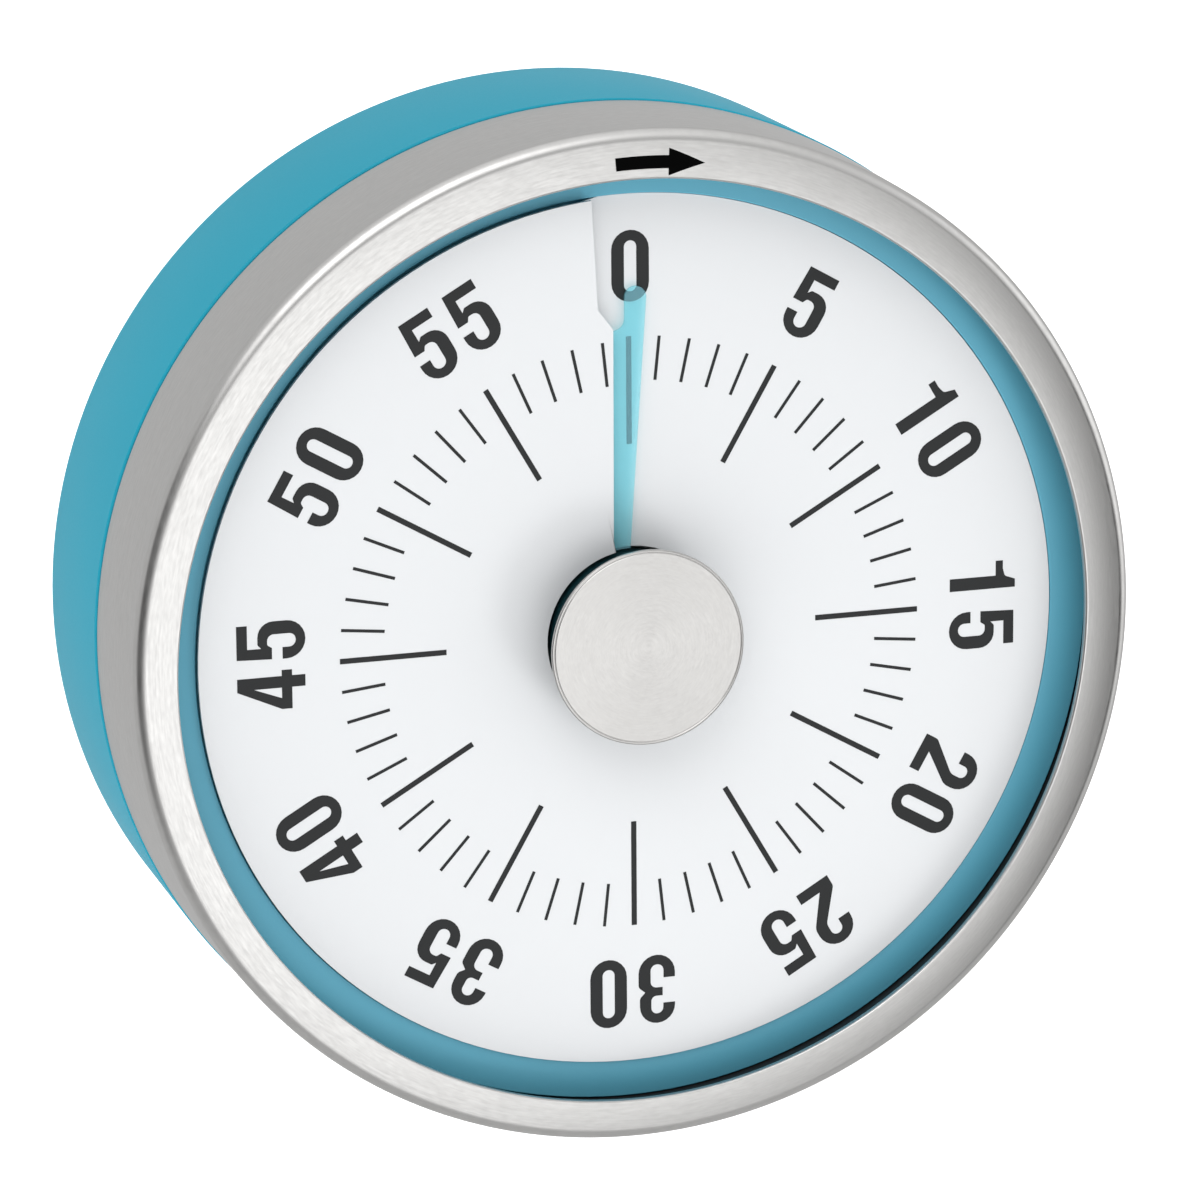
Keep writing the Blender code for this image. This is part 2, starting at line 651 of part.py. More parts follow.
def make_switch(name, sign):
    """A two-position slide switch: its case on the board, and its lever in the rear cover's slot."""
    middle = sign * (SWITCH_X + SWITCH_TRAVEL / 2)
    half = Vector((4.4, 1.8))
    low, high = (middle - half.x, SWITCH_Y - half.y, 5.5), (middle + half.x, SWITCH_Y + half.y, 8.45)
    block(f"{name}_switch", low, high, material="bright_steel")
    at = (sign * SWITCH_X, SWITCH_Y, 0)
    lever = block(f"{name}_lever", (-1.6, -1.1, 1.0), (1.6, 1.1, 2.9), at, "black_plastic")
    unite(lever, block(f"{name}_stem", (-0.8, -0.7, 2.7), (0.8, 0.7, 5.3), at))


def make_battery():
    centre = (0, BATTERY_Y, BATTERY_Z)
    rear, tip = BATTERY_ENDS
    cell = rod("battery", BATTERY_RADIUS, rear, tip - 1.2, centre, "cell_wrap", 24, "x")
    unite(cell, rod("battery_terminal", 1.9, tip - 2.0, tip, centre, along="x"))
    y, z = BATTERY_Y, BATTERY_Z
    block("positive_contact", (23.0, y - 3.5, z - 3.5), (23.4, y + 3.5, z + 4.5), material="bright_steel")
    block("negative_contact", (-24.7, y - 3.5, z - 3.5), (-24.3, y + 3.5, z + 4.5), material="bright_steel")
    tray = block("battery_tray", (-26.0, y - 6.6, 5.9), (24.8, y + 6.6, 14.8), material="black_plastic")
    cut(tray, block("battery_bay", (-25.0, y - 5.6, 4.0), (23.8, y + 5.6, 13.8)))
    turns, points_per_turn, wire = 2.5, 12, 0.28
    length = 1.5
    count = round(turns * points_per_turn)
    route = []
    for index in range(count + 1):
        part = index / count
        across, up = on_circle(3.4 - 0.9 * part, TURN * turns * part)
        route.append((-23.97 + length * part, y + across, z + up))
    make_wire("battery_spring", route, wire, "bright_steel", 1)
    right = ((25.7, -17, 9), (26.6, -12.5, 9.3), (26.9, -8, 9.7), (26.9, -3, 10), (26.2, 1.5, 10.3), (24.4, 6, 10.3))
    left = tuple((-x - (1.1 if y < -10 else 0.2), y, z) for x, y, z in right)
    make_wire("positive_wire", right, 0.45, "red_wire", 1)
    make_wire("negative_wire", left, 0.45, "black_plastic", 1)


def make_wire(name, route, radius, material, resolution):
    curve = bpy.data.curves.new(name, "CURVE")
    curve.dimensions = "3D"
    curve.bevel_depth = radius * MM
    curve.bevel_resolution = resolution
    curve.use_fill_caps = True
    spline = curve.splines.new("POLY")
    spline.points.add(len(route) - 1)
    for point, where in zip(spline.points, route):
        point.co = (*in_metres(*where), 1.0)
    place(name, curve, (0, 0, 0), material)


def make_magnet():
    rod("magnet", MAGNET_RADIUS, 0.0, 2.9, material="ferrite", segments=48)
    outer, inner = MAGNET_RADIUS + 0.95, MAGNET_RADIUS + 0.25
    section = [(0, 3.1, 0), (inner, 3.1, 0), (inner, 0.2, 0), (outer, 0.2, 0), (outer, 4.0, 0), (0, 4.0, 0)]
    turned("magnet_yoke", section, material="bright_steel", segments=32)


def main():
    make_body_shell()
    make_bezel()
    make_front_ring()
    make_rear_cover()
    make_battery_door()
    for index, (x, y) in enumerate(screw_places()):
        make_screw(f"cover_screw_{index + 1}", x, y, 2.0, 0.9, 1.6, 0.8, 12.0)
    make_dial()
    make_time_disc()
    make_disc_hub()
    make_knob()
    make_spindle()
    make_train()
    make_plates()
    make_motor()
    make_board()
    make_switch("volume", -1)
    make_switch("duration", 1)
    make_battery()
    make_magnet()


main()
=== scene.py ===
"""The look of a visual countdown kitchen timer: a round teal case with a brushed steel bezel, a white dial
slit at zero, a see-through teal disc that winds out of the slit, and a steel-capped knob.

Shapes are given in the face frame, in millimetres: x to the right, y up, and a depth that grows towards the
person reading the dial, from 0 on the magnet's rear face. The function spot turns that into the row frame,
where the dial faces -Y and its zero mark points to +Z.
"""

import json
import math

import bmesh
import bpy
from mathutils import Matrix, Vector
from mathutils.geometry import tessellate_polygon

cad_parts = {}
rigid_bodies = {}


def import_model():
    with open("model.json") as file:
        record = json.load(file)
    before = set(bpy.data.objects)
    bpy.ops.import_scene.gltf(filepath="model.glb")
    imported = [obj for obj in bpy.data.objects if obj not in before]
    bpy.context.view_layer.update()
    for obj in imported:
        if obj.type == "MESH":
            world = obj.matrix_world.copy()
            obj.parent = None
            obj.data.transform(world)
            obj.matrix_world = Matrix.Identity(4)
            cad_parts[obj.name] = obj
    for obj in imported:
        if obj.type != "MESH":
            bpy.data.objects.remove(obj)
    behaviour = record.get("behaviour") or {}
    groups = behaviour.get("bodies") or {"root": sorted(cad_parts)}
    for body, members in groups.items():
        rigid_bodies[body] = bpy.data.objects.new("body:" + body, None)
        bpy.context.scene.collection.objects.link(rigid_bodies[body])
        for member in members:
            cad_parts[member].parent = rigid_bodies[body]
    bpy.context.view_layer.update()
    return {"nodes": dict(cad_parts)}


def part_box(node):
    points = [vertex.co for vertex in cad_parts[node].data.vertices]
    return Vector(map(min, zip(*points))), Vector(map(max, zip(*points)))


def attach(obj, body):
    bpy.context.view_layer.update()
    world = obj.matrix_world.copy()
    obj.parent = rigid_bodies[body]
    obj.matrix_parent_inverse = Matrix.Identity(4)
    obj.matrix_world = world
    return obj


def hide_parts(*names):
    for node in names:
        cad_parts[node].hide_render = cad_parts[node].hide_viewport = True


for old in list(bpy.data.objects):
    bpy.data.objects.remove(old, do_unlink=True)

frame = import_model()

MM = 0.001
TURN = 2 * math.pi


def extent(node):
    """(radius or half width, back, front) of a CAD node, in millimetres of the face frame."""
    low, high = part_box(node)
    return high.x / MM, -high.y / MM, -low.y / MM


# The parts keep the reach of the CAD nodes that they stand for.
BODY_RADIUS, BODY_BACK, SPIGOT_FRONT = extent("body_shell")
BEZEL_RADIUS, BEZEL_BACK, BEZEL_FRONT = extent("bezel")
CAP_RADIUS, _, CAP_FRONT = extent("knob_cap")
HUB_RADIUS, HUB_BACK, HUB_FRONT = extent("disc_hub")
GASKET_RADIUS, GASKET_BACK, GASKET_FRONT = extent("bezel_gasket")
RING_RADIUS, RING_BACK, RING_FRONT = extent("front_ring")

# Case and bezel. The case narrows to its rear. Its front rim, whose outer edge is BODY_STEP inside the CAD's,
# has a groove between it and the spigot that carries the bezel. A rib inside carries the dial.
BODY_FRONT = 16.2
BODY_REAR_RADIUS = 38.2
BODY_STEP = 0.1
BODY_INNER = 36.75
BODY_RIM = 0.65
SPIGOT_RADIUS = 37.1
SPIGOT_WALL = 0.65
GROOVE = 0.6
RIB_BACK, RIB_FRONT, RIB_REACH = 20.2, 21.4, 2.2
# The bezel's face falls by BEZEL_DROP from its lip to where its outer edge rolls back, at BEZEL_ROLL.
BEZEL_INNER = 34.8
BEZEL_ROLL = 38.15
BEZEL_DROP = 0.25
STEEL = 0.6
# The bezel's opening sits this far right and up of the dial's axis, over the LIP_BLEND nearest to its lip.
LIP_SHIFT = (-0.22, -0.22)
LIP_BLEND = 1.0
# A black seal stands under the bezel's lip. Its black is painted shade, for the shade that the lip casts.
SHADE_SEAL_WALL = 0.35
# The ring round the dial, which leaves RING_CLEARANCE round the dial's rim.
RING_FOOT = 31.0
RING_SEAT = 23.7
RING_CLEARANCE = 0.06
# Segments of a large turned part.
FINE = 240

# Dial, disc and marks. The dial and the disc climb RISE in each clockwise turn.
DIAL_LEVEL = 25.0
DIAL_RADIUS = 32.9
DIAL_HOLE = 6.62
SHEET = 0.3
RISE = 1.1
DIAL_START, DIAL_LAST, DIAL_STEP = -10, 348, 2
# (radius, x) of the dial's upper lip, on the left of the slit.
LIP_EDGE = ((6.62, -1.56), (23.2, -1.50), (24.8, -2.65), (32.9, -3.09))
# The lower lip is LIP_TRIM smaller where the upper one covers it: from TRIM_FROM degrees, over TRIM_OVER.
LIP_TRIM = 0.6
TRIM_FROM, TRIM_OVER = 5, 3
DISC_RADIUS = 22.9
DISC_START = -361.8
FILM = 0.26
# The film ends FILM_CLEARANCE outside its hub.
FILM_CLEARANCE = 0.3
# The pointer: (radius, x) of its right side, and the x of its left side, its tip and the fillet at its foot.
POINTER_EDGE = ((6.45, -0.12), (25.4, 1.2))
POINTER_LEFT = -0.42
POINTER_TIP = 26.13
POINTER_FILLET = 0.85
MARK_OUTER = 22.35
HOUR_MARK = (14.31, 0.41)
MINUTE_MARK = (19.06, 0.235)
PRINT = 0.02
GLYPH_UNIT = 0.2483
GLYPH_BASE = 24.95
GLYPH_PITCH = 15.2
GLYPH_WIDTH = 11.5
# The numbers sit slightly to the right of their marks.
LABEL_SHIFT = 0.15

# Knob. The hub and the knob's boss are SLIMMER inside the hub's CAD radius, so more shadow shows round them.
SLIMMER = 0.3
HUB_BORE = 3.6
CAP_SHEET = 0.3
CAP_EDGE = 0.1
STEM_RADIUS, STEM_BORE, STEM_BORE_END = 3.3, 1.7, 27.5
BOSS_STEP = 0.6

# Camera: its place and angles follow the dial's marks and the outline of the case together.
CAMERA_LENS = 188.9
CAMERA_PLACE = (-135.130, -451.326, 120.292)
CAMERA_AZIMUTH, CAMERA_ELEVATION, CAMERA_ROLL = -17.288, 14.740, -0.417

# Studio: the even level of light, and (azimuth, elevation, inner and outer angle, gain) of each broad patch.
STUDIO_LEVEL = 0.62
STUDIO_PATCHES = (
    (5, -14, 5, 30, 1.35),
    (43, -14, 6, 22, -0.75),
    (-35, 50, 8, 32, 1.90),
    (75, 5, 10, 34, 0.85),
    (0, 85, 10, 60, 0.45),
    (-62, 0, 20, 38, -0.56),
)
KEY_AZIMUTH, KEY_ELEVATION, KEY_DISTANCE = 38, -32, 0.33
KEY_SIZE = 0.09
KEY_POWER = 0.2
FLOOR_HEIGHT, FLOOR_REACH, FLOOR_GLOW = -0.26, 12.0, 0.55

WHITE = (1.0, 1.0, 1.0, 1.0)


# ---------------------------------------------------------------- placing


def spot(x, y, depth):
    """A point of the face frame, in the row frame's metres."""
    return Vector((x, -depth, y)) * MM


def on_dial(radius, degrees):
    """The (x, y) at this radius, with the angle measured clockwise from the zero mark."""
    angle = math.radians(degrees)
    return radius * math.sin(angle), radius * math.cos(angle)


def place(name, mesh, look, body, replaced=(), smooth=35):
    """Adds the mesh as a piece that rides on a body and may stand for CAD nodes."""
    if smooth:
        mesh.shade_smooth()
        mesh.set_sharp_from_angle(angle=math.radians(smooth))
    mesh.materials.append(look)
    piece = bpy.data.objects.new(name, mesh)
    bpy.context.scene.collection.objects.link(piece)
    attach(piece, body)
    if replaced:
        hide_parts(*replaced)
    return piece


def finished(work, name):
    """The bmesh as a mesh, with its doubled points joined and its faces turned outwards."""
    bmesh.ops.remove_doubles(work, verts=work.verts, dist=1e-7)
    bmesh.ops.dissolve_degenerate(work, edges=work.edges, dist=1e-7)
    bmesh.ops.recalc_face_normals(work, faces=work.faces)
    mesh = bpy.data.meshes.new(name)
    work.to_mesh(mesh)
    work.free()
    return mesh


# ---------------------------------------------------------------- shapes


def rounded(corners, steps=6):
    """A closed outline from (u, v) or (u, v, fillet radius) corners, each fillet as an arc of points."""
    points = []
    count = len(corners)
    for index, (u, v, *fillet) in enumerate(corners):
        corner = Vector((u, v))
        if not fillet:
            points.append(corner)
            continue
        before = (Vector(corners[index - 1][:2]) - corner).normalized()
        after = (Vector(corners[(index + 1) % count][:2]) - corner).normalized()
        half = before.angle(after) / 2
        reach = fillet[0] / math.tan(half)
        centre = corner + (before + after).normalized() * fillet[0] / math.sin(half)
        start = corner + before * reach - centre
        sweep = start.angle_signed(corner + after * reach - centre)
        for step in range(steps + 1):
            # angle_signed is clockwise, and a 2D rotation is anticlockwise.
            points.append(centre + Matrix.Rotation(-sweep * step / steps, 2) @ start)
    return points


def turned(name, corners, segments=FINE, steps=6):
    """A mesh turned about the dial's axis, from the (radius, depth, fillet) corners of its section."""
    work = bmesh.new()
    rings = []
    for radius, depth in rounded(corners, steps):
        count = segments if radius > 1e-6 else 1
        places = [on_dial(radius, 360 * index / segments) for index in range(count)]
        rings.append([work.verts.new(spot(x, y, depth)) for x, y in places])
    for first, second in zip(rings, rings[1:] + rings[:1]):
        if len(first) == len(second) == 1:
            continue
        for index in range(segments):
            after = (index + 1) % segments
            corner = [first[index % len(first)], first[after % len(first)]]
            corner += [second[after % len(second)], second[index % len(second)]]
            work.faces.new(list(dict.fromkeys(corner)))
    return finished(work, name)


def sheet(name, columns, thickness):
    """A closed thin sheet over columns of (x, y, depth) points, thickened equally to both sides."""
    work = bmesh.new()
    lift = thickness / 2
    grid = [[work.verts.new(spot(x, y, depth + lift)) for x, y, depth in column] for column in columns]
    for left, right in zip(grid, grid[1:]):
        for row in range(len(left) - 1):
            work.faces.new((left[row], right[row], right[row + 1], left[row + 1]))
    bmesh.ops.remove_doubles(work, verts=work.verts, dist=1e-7)
    bmesh.ops.dissolve_degenerate(work, edges=work.edges, dist=1e-7)
    raised = bmesh.ops.extrude_face_region(work, geom=work.faces[:])
    moved = [item for item in raised["geom"] if isinstance(item, bmesh.types.BMVert)]
    bmesh.ops.translate(work, verts=moved, vec=spot(0, 0, -thickness))
    return finished(work, name)


def stamp(work, outlines, settle):
    """Adds a thin closed print to the bmesh. The first outline is its edge and the others are holes in it.

    settle turns a point of the outline into (x, y, depth of the surface under it).
    """
    flat = [Vector((*point, 0)) for outline in outlines for point in outline]
    triangles = tessellate_polygon([[Vector((*point, 0)) for point in outline] for outline in outlines])
    seats = [settle(*point[:2]) for point in flat]
    tops = [work.verts.new(spot(x, y, depth + PRINT)) for x, y, depth in seats]
    feet = [work.verts.new(spot(x, y, depth)) for x, y, depth in seats]
    for triangle in triangles:
        work.faces.new([tops[index] for index in triangle])
        work.faces.new([feet[index] for index in reversed(triangle)])
    start = 0
    for outline in outlines:
        count = len(outline)
        for index in range(count):
            here, after = start + index, start + (index + 1) % count
            work.faces.new((tops[here], tops[after], feet[after], feet[here]))
        start += count


def between(pairs, value):
    """Reads a value off straight lines between (position, value) pairs."""
    for (low, first), (high, second) in zip(pairs, pairs[1:]):
        if value <= high:
            return first + (second - first) * (value - low) / (high - low)
    return pairs[-1][1]


# ---------------------------------------------------------------- materials


def socket_of(node, key):
    """The input called "A B" for the key a_b, or the one at this index for a key such as _2."""
    if key[1:].isdigit():
        return node.inputs[int(key[1:])]
    return next(socket for socket in node.inputs if socket.name.lower() == key.replace("_", " ").lower())


def add(tree, kind, settings=None, **inputs):
    """Adds a node with these settings. Each input takes a value or another node's output."""
    made = tree.nodes.new(kind)
    for key, value in (settings or {}).items():
        setattr(made, key, value)
    for key, value in inputs.items():
        socket = socket_of(made, key)
        if isinstance(value, bpy.types.NodeSocket):
            tree.links.new(value, socket)
        else:
            socket.default_value = value
    return made


def combine(tree, operation, first, second=0.0, third=0.0):
    """The result of a Math node."""
    return add(tree, "ShaderNodeMath", {"operation": operation}, _0=first, _1=second, _2=third).outputs[0]


def spread(tree, factor, low, high):
    """The factor, from 0 to 1, spread from low to high."""
    made = add(tree, "ShaderNodeMapRange", None, _0=factor, _3=low, _4=high)
    return made.outputs[0]


def blend_colours(tree, factor, first, second):
    made = add(tree, "ShaderNodeMix", {"data_type": "RGBA"}, _0=factor, _6=first, _7=second)
    return made.outputs[2]


def noise(tree, scale, vector=None, detail=2.0, roughness=0.5):
    """A noise between 0 and 1, with scale features to the metre unless a vector is given."""
    vector = vector or add(tree, "ShaderNodeTexCoord").outputs["Object"]
    settings = {"Vector": vector, "Scale": scale, "Detail": detail, "Roughness": roughness}
    return add(tree, "ShaderNodeTexNoise", None, **settings).outputs[0]


def bumps(tree, height, depth):
    """A normal from a height, where the height's range of 1 stands for depth millimetres."""
    return add(tree, "ShaderNodeBump", None, Height=height, Strength=1.0, Distance=depth * MM).outputs[0]


def new_look(name, metallic=0.0, **sockets):
    """A material with a Principled shader, whose constant values are set on the shader itself."""
    look = bpy.data.materials.new(name)
    look.use_nodes = True
    tree = look.node_tree
    shader = tree.nodes["Principled BSDF"]
    shader.inputs["Metallic"].default_value = metallic
    for key, value in sockets.items():
        socket_of(shader, key).default_value = value
    return look, tree, shader


def shade(colour, factor):
    return (*[channel * factor for channel in colour], 1.0)


def moulded(name, colour, roughness, grain=0.16, depth=0.004, cloud=0.04, **sockets):
    """Moulded plastic: a fine spark-eroded grain, and a colour that drifts a little over the piece."""
    look, tree, shader = new_look(name, **sockets)
    drift = noise(tree, 60.0, detail=3.0)
    fine = noise(tree, 1.0 / (grain * MM), detail=3.0, roughness=0.6)
    tint = blend_colours(tree, drift, shade(colour, 1 - cloud), shade(colour, 1 + cloud))
    tree.links.new(tint, shader.inputs["Base Color"])
    tree.links.new(spread(tree, fine, roughness - 0.05, roughness + 0.05), shader.inputs["Roughness"])
    tree.links.new(bumps(tree, fine, depth), shader.inputs["Normal"])
    return look


def stroke_vector(tree, across, along):
    """Coordinates for brushing round the Y axis: strokes along mm long and across mm wide."""
    place_of = add(tree, "ShaderNodeTexCoord").outputs["Object"]
    parts = add(tree, "ShaderNodeSeparateXYZ", None, Vector=place_of)
    x, y, z = parts.outputs
    squares = combine(tree, "ADD", combine(tree, "MULTIPLY", x, x), combine(tree, "MULTIPLY", z, z))
    radius = combine(tree, "SQRT", squares)
    profile = combine(tree, "SUBTRACT", radius, y)
    long_x = combine(tree, "MULTIPLY", x, 1.0 / (along * MM))
    long_z = combine(tree, "MULTIPLY", z, 1.0 / (along * MM))
    return add(
        tree,
        "ShaderNodeCombineXYZ",
        None,
        X=long_x,
        Y=combine(tree, "MULTIPLY", profile, 1.0 / (across * MM)),
        Z=long_z,
    ).outputs[0]


def turned_steel(name, colour, roughness, across, along, depth, anisotropic, contrast=0.04):
    """Steel brushed round the Y axis, with short strokes among the long ones."""
    look, tree, shader = new_look(name, metallic=1.0, anisotropic=anisotropic)
    tangent = add(tree, "ShaderNodeTangent", {"direction_type": "RADIAL", "axis": "Y"}).outputs[0]
    tree.links.new(tangent, shader.inputs["Tangent"])
    long_strokes = noise(tree, 1.0, stroke_vector(tree, across, along), detail=2.0)
    short_strokes = noise(tree, 1.0, stroke_vector(tree, across * 1.6, along * 0.3), detail=2.0)
    strokes = combine(tree, "MULTIPLY_ADD", short_strokes, 0.5, combine(tree, "MULTIPLY", long_strokes, 0.5))
    clear = add(tree, "ShaderNodeMapRange", None, _0=strokes, _1=0.35, _2=0.65).outputs[0]
    tint = blend_colours(tree, clear, shade(colour, 1 - contrast), shade(colour, 1 + contrast))
    tree.links.new(tint, shader.inputs["Base Color"])
    polish = spread(tree, clear, roughness + contrast, roughness - contrast)
    tree.links.new(polish, shader.inputs["Roughness"])
    tree.links.new(bumps(tree, strokes, depth), shader.inputs["Normal"])
    return look


def plain_metal(name, colour, roughness, scratch=0.3, depth=0.002):
    """Metal with fine scratches and a roughness that drifts."""
    look, tree, shader = new_look(name, metallic=1.0)
    fine = noise(tree, 1.0 / (scratch * MM), detail=4.0)
    drift = noise(tree, 150.0, detail=2.0)
    tint = blend_colours(tree, drift, shade(colour, 0.9), shade(colour, 1.05))
    tree.links.new(tint, shader.inputs["Base Color"])
    tree.links.new(spread(tree, fine, roughness - 0.08, roughness + 0.1), shader.inputs["Roughness"])
    tree.links.new(bumps(tree, fine, depth), shader.inputs["Normal"])
    return look


def film_look(name, tint, surface, share):
    """A see-through coloured film: it filters what is behind it, and a little of it is a tinted surface."""
    look, tree, shader = new_look(name, roughness=0.22, specular_ior_level=0.4)
    drift = noise(tree, 90.0, detail=2.0)
    colour = blend_colours(tree, drift, shade(surface, 0.95), shade(surface, 1.05))
    tree.links.new(colour, shader.inputs["Base Color"])
    clear = add(tree, "ShaderNodeBsdfTransparent", None, Color=(*tint, 1.0))
    mixed = add(tree, "ShaderNodeMixShader", None, _0=share, _1=clear.outputs[0], _2=shader.outputs[0])
    output = tree.nodes["Material Output"]
    tree.links.new(mixed.outputs[0], output.inputs["Surface"])
    return look


TEAL = (0.0158, 0.332, 0.462)
# The ring's teal is the case's plastic made lighter and greyer. This makes up for the shade of the recess and
# carries a whitish sheen: painted light.
RING_TEAL_PAINTED_LIGHT = (0.100, 0.365, 0.490)
BEZEL_STEEL = (0.60, 0.595, 0.585)
CAP_STEEL = (0.53, 0.523, 0.512)
DIAL_WHITE = (0.645, 0.659, 0.673)
BEZEL_BRUSHING = {"across": 0.09, "along": 2.4, "depth": 0.0011, "anisotropic": 0.55}
CAP_BRUSHING = {"across": 0.07, "along": 1.2, "depth": 0.0007, "anisotropic": 0.60, "contrast": 0.025}
PAPER = {"grain": 0.3, "depth": 0.001, "cloud": 0.01}
INK = {"grain": 0.08, "depth": 0.001}

LOOKS = {
    "teal_plastic": moulded("look_teal_plastic", TEAL, 0.42, specular_ior_level=0.12),
    "surround": moulded("look_surround_painted_light", RING_TEAL_PAINTED_LIGHT, 0.38, specular_ior_level=0.3),
    "brushed_steel": turned_steel("look_brushed_steel", BEZEL_STEEL, 0.34, **BEZEL_BRUSHING),
    "cap_steel": turned_steel("look_cap_steel", CAP_STEEL, 0.30, **CAP_BRUSHING),
    "black_plastic": moulded("look_black_plastic", (0.012, 0.013, 0.014), 0.45),
    "dial_white": moulded("look_dial_white", DIAL_WHITE, 0.42, **PAPER),
    "print": moulded("look_print", (0.018, 0.019, 0.020), 0.6, **INK, specular_ior_level=0.3),
    "arrow_print": moulded("look_arrow_print", (0.001, 0.001, 0.001), 0.5, **INK, specular_ior_level=0.02),
    "clear_teal": film_look("look_clear_teal", (0.74, 0.98, 1.0), (0.36, 0.66, 0.76), 0.22),
    # The knob's boss and the film's hub are near-black teal, as dark as they look in the cap's shade. This is
    # partly their own dark plastic and partly painted shade.
    "knob_plastic": moulded("look_knob_plastic_painted_shade", (0.004, 0.026, 0.032), 0.3),
    "frame_plastic": moulded("look_frame_plastic", (0.60, 0.61, 0.58), 0.5),
    "gear_plastic": moulded("look_gear_plastic", (0.78, 0.74, 0.62), 0.45),
    "bright_steel": plain_metal("look_bright_steel", (0.66, 0.66, 0.67), 0.25),
    "brass": plain_metal("look_brass", (0.72, 0.50, 0.20), 0.30),
    "copper_wire": plain_metal("look_copper_wire", (0.62, 0.24, 0.10), 0.35, scratch=0.1, depth=0.02),
    "ferrite": moulded("look_ferrite", (0.035, 0.035, 0.038), 0.6, grain=0.2, depth=0.01),
    "circuit_board": moulded("look_circuit_board", (0.02, 0.16, 0.07), 0.5),
    "cell_wrap": moulded("look_cell_wrap", (0.16, 0.17, 0.18), 0.35),
    "red_wire": moulded("look_red_wire", (0.50, 0.02, 0.02), 0.45),
}


# ---------------------------------------------------------------- case and bezel


def make_body():
    inner = SPIGOT_RADIUS - SPIGOT_WALL
    rim = BODY_RADIUS - BODY_RIM
    mesh = turned(
        "case_body",
        [
            (inner, SPIGOT_FRONT),
            (SPIGOT_RADIUS, SPIGOT_FRONT),
            (SPIGOT_RADIUS, BODY_FRONT - GROOVE),
            (rim, BODY_FRONT - GROOVE),
            (rim, BODY_FRONT, 0.1),
            (BODY_RADIUS - BODY_STEP, BODY_FRONT, 0.2),
            (BODY_REAR_RADIUS, BODY_BACK, 0.7),
            (BODY_INNER, BODY_BACK, 0.15),
            (BODY_INNER, RIB_BACK),
            (BODY_INNER - RIB_REACH, RIB_BACK),
            (BODY_INNER - RIB_REACH, RIB_FRONT),
            (inner, RIB_FRONT),
        ],
    )
    place("case_body", mesh, LOOKS["teal_plastic"], "case", ["body_shell"])


def bezel_height(radius):
    """How far forwards the bezel's crowned face is at this radius."""
    return BEZEL_FRONT - BEZEL_DROP * (radius - BEZEL_INNER) / (BEZEL_ROLL - BEZEL_INNER)


def make_bezel():
    mesh = turned(
        "steel_bezel",
        [
            (BEZEL_INNER, BEZEL_FRONT - STEEL, 0.1),
            (BEZEL_INNER, BEZEL_FRONT, 0.15),
            (BEZEL_ROLL, bezel_height(BEZEL_ROLL), 0.95),
            (BEZEL_RADIUS, BEZEL_BACK, 0.12),
            (BEZEL_RADIUS - STEEL, BEZEL_BACK, 0.12),
            (BEZEL_ROLL - STEEL, bezel_height(BEZEL_ROLL) - STEEL, 0.35),
        ],
        steps=10,
    )
    for vertex in mesh.vertices:
        near = (BEZEL_INNER + LIP_BLEND - vertex.co.xz.length / MM) / LIP_BLEND
        share = min(max(near, 0.0), 1.0)
        vertex.co.x += LIP_SHIFT[0] * share * MM
        vertex.co.z += LIP_SHIFT[1] * share * MM
    place("steel_bezel", mesh, LOOKS["brushed_steel"], "case", ["bezel"])
    # The seal under the lip is black as painted shade, for the shade that the lip casts there.
    inner = GASKET_RADIUS - SHADE_SEAL_WALL
    mesh = turned(
        "bezel_seal_painted_shade",
        [
            (inner, GASKET_BACK),
            (inner, GASKET_FRONT),
            (GASKET_RADIUS, GASKET_FRONT),
            (GASKET_RADIUS, GASKET_BACK),
        ],
    )
    place("bezel_seal_painted_shade", mesh, LOOKS["black_plastic"], "case", ["bezel_gasket"])


def make_turn_arrow():
    """The printed arrow that shows which way to turn the knob, curved along the bezel's face."""
    middle, shaft, head = 35.8, 0.475, 1.0
    tail, neck, tip = -3.2, 3.2, 7.6
    shape = [(tail + (neck - tail) * step / 12, shaft) for step in range(13)]
    shape += [(neck + 0.01 + (tip - neck) * step / 8, head * (1 - step / 8)) for step in range(9)]
    columns = []
    for angle, half in shape:
        radii = [middle + half * part for part in (-1.0, -0.5, 0.0, 0.5, 1.0)]
        columns.append([(*on_dial(radius, angle), bezel_height(radius) + 0.005) for radius in radii])
    mesh = sheet("turn_arrow", columns, PRINT)
    place("turn_arrow", mesh, LOOKS["arrow_print"], "case", smooth=0)


def make_surround():
    """The teal ring between the dial and the bezel, in a lighter, greyer teal than the case: painted light
    and sheen.
    """
    inner = DIAL_RADIUS + RING_CLEARANCE
    mesh = turned(
        "dial_surround",
        [
            (RING_FOOT, RING_BACK),
            (RING_FOOT, RING_SEAT),
            (inner, RING_SEAT),
            (inner, RING_FRONT, 0.1),
            (RING_RADIUS, RING_FRONT - 0.1),
            (RING_RADIUS, RING_BACK),
        ],
    )
    place("dial_surround", mesh, LOOKS["surround"], "case", ["front_ring"])


# ---------------------------------------------------------------- dial and marks


def dial_height(degrees):
    """How far forwards the middle of the dial's sheet is at this angle from zero."""
    return DIAL_LEVEL - RISE / 2 + RISE * degrees / 360


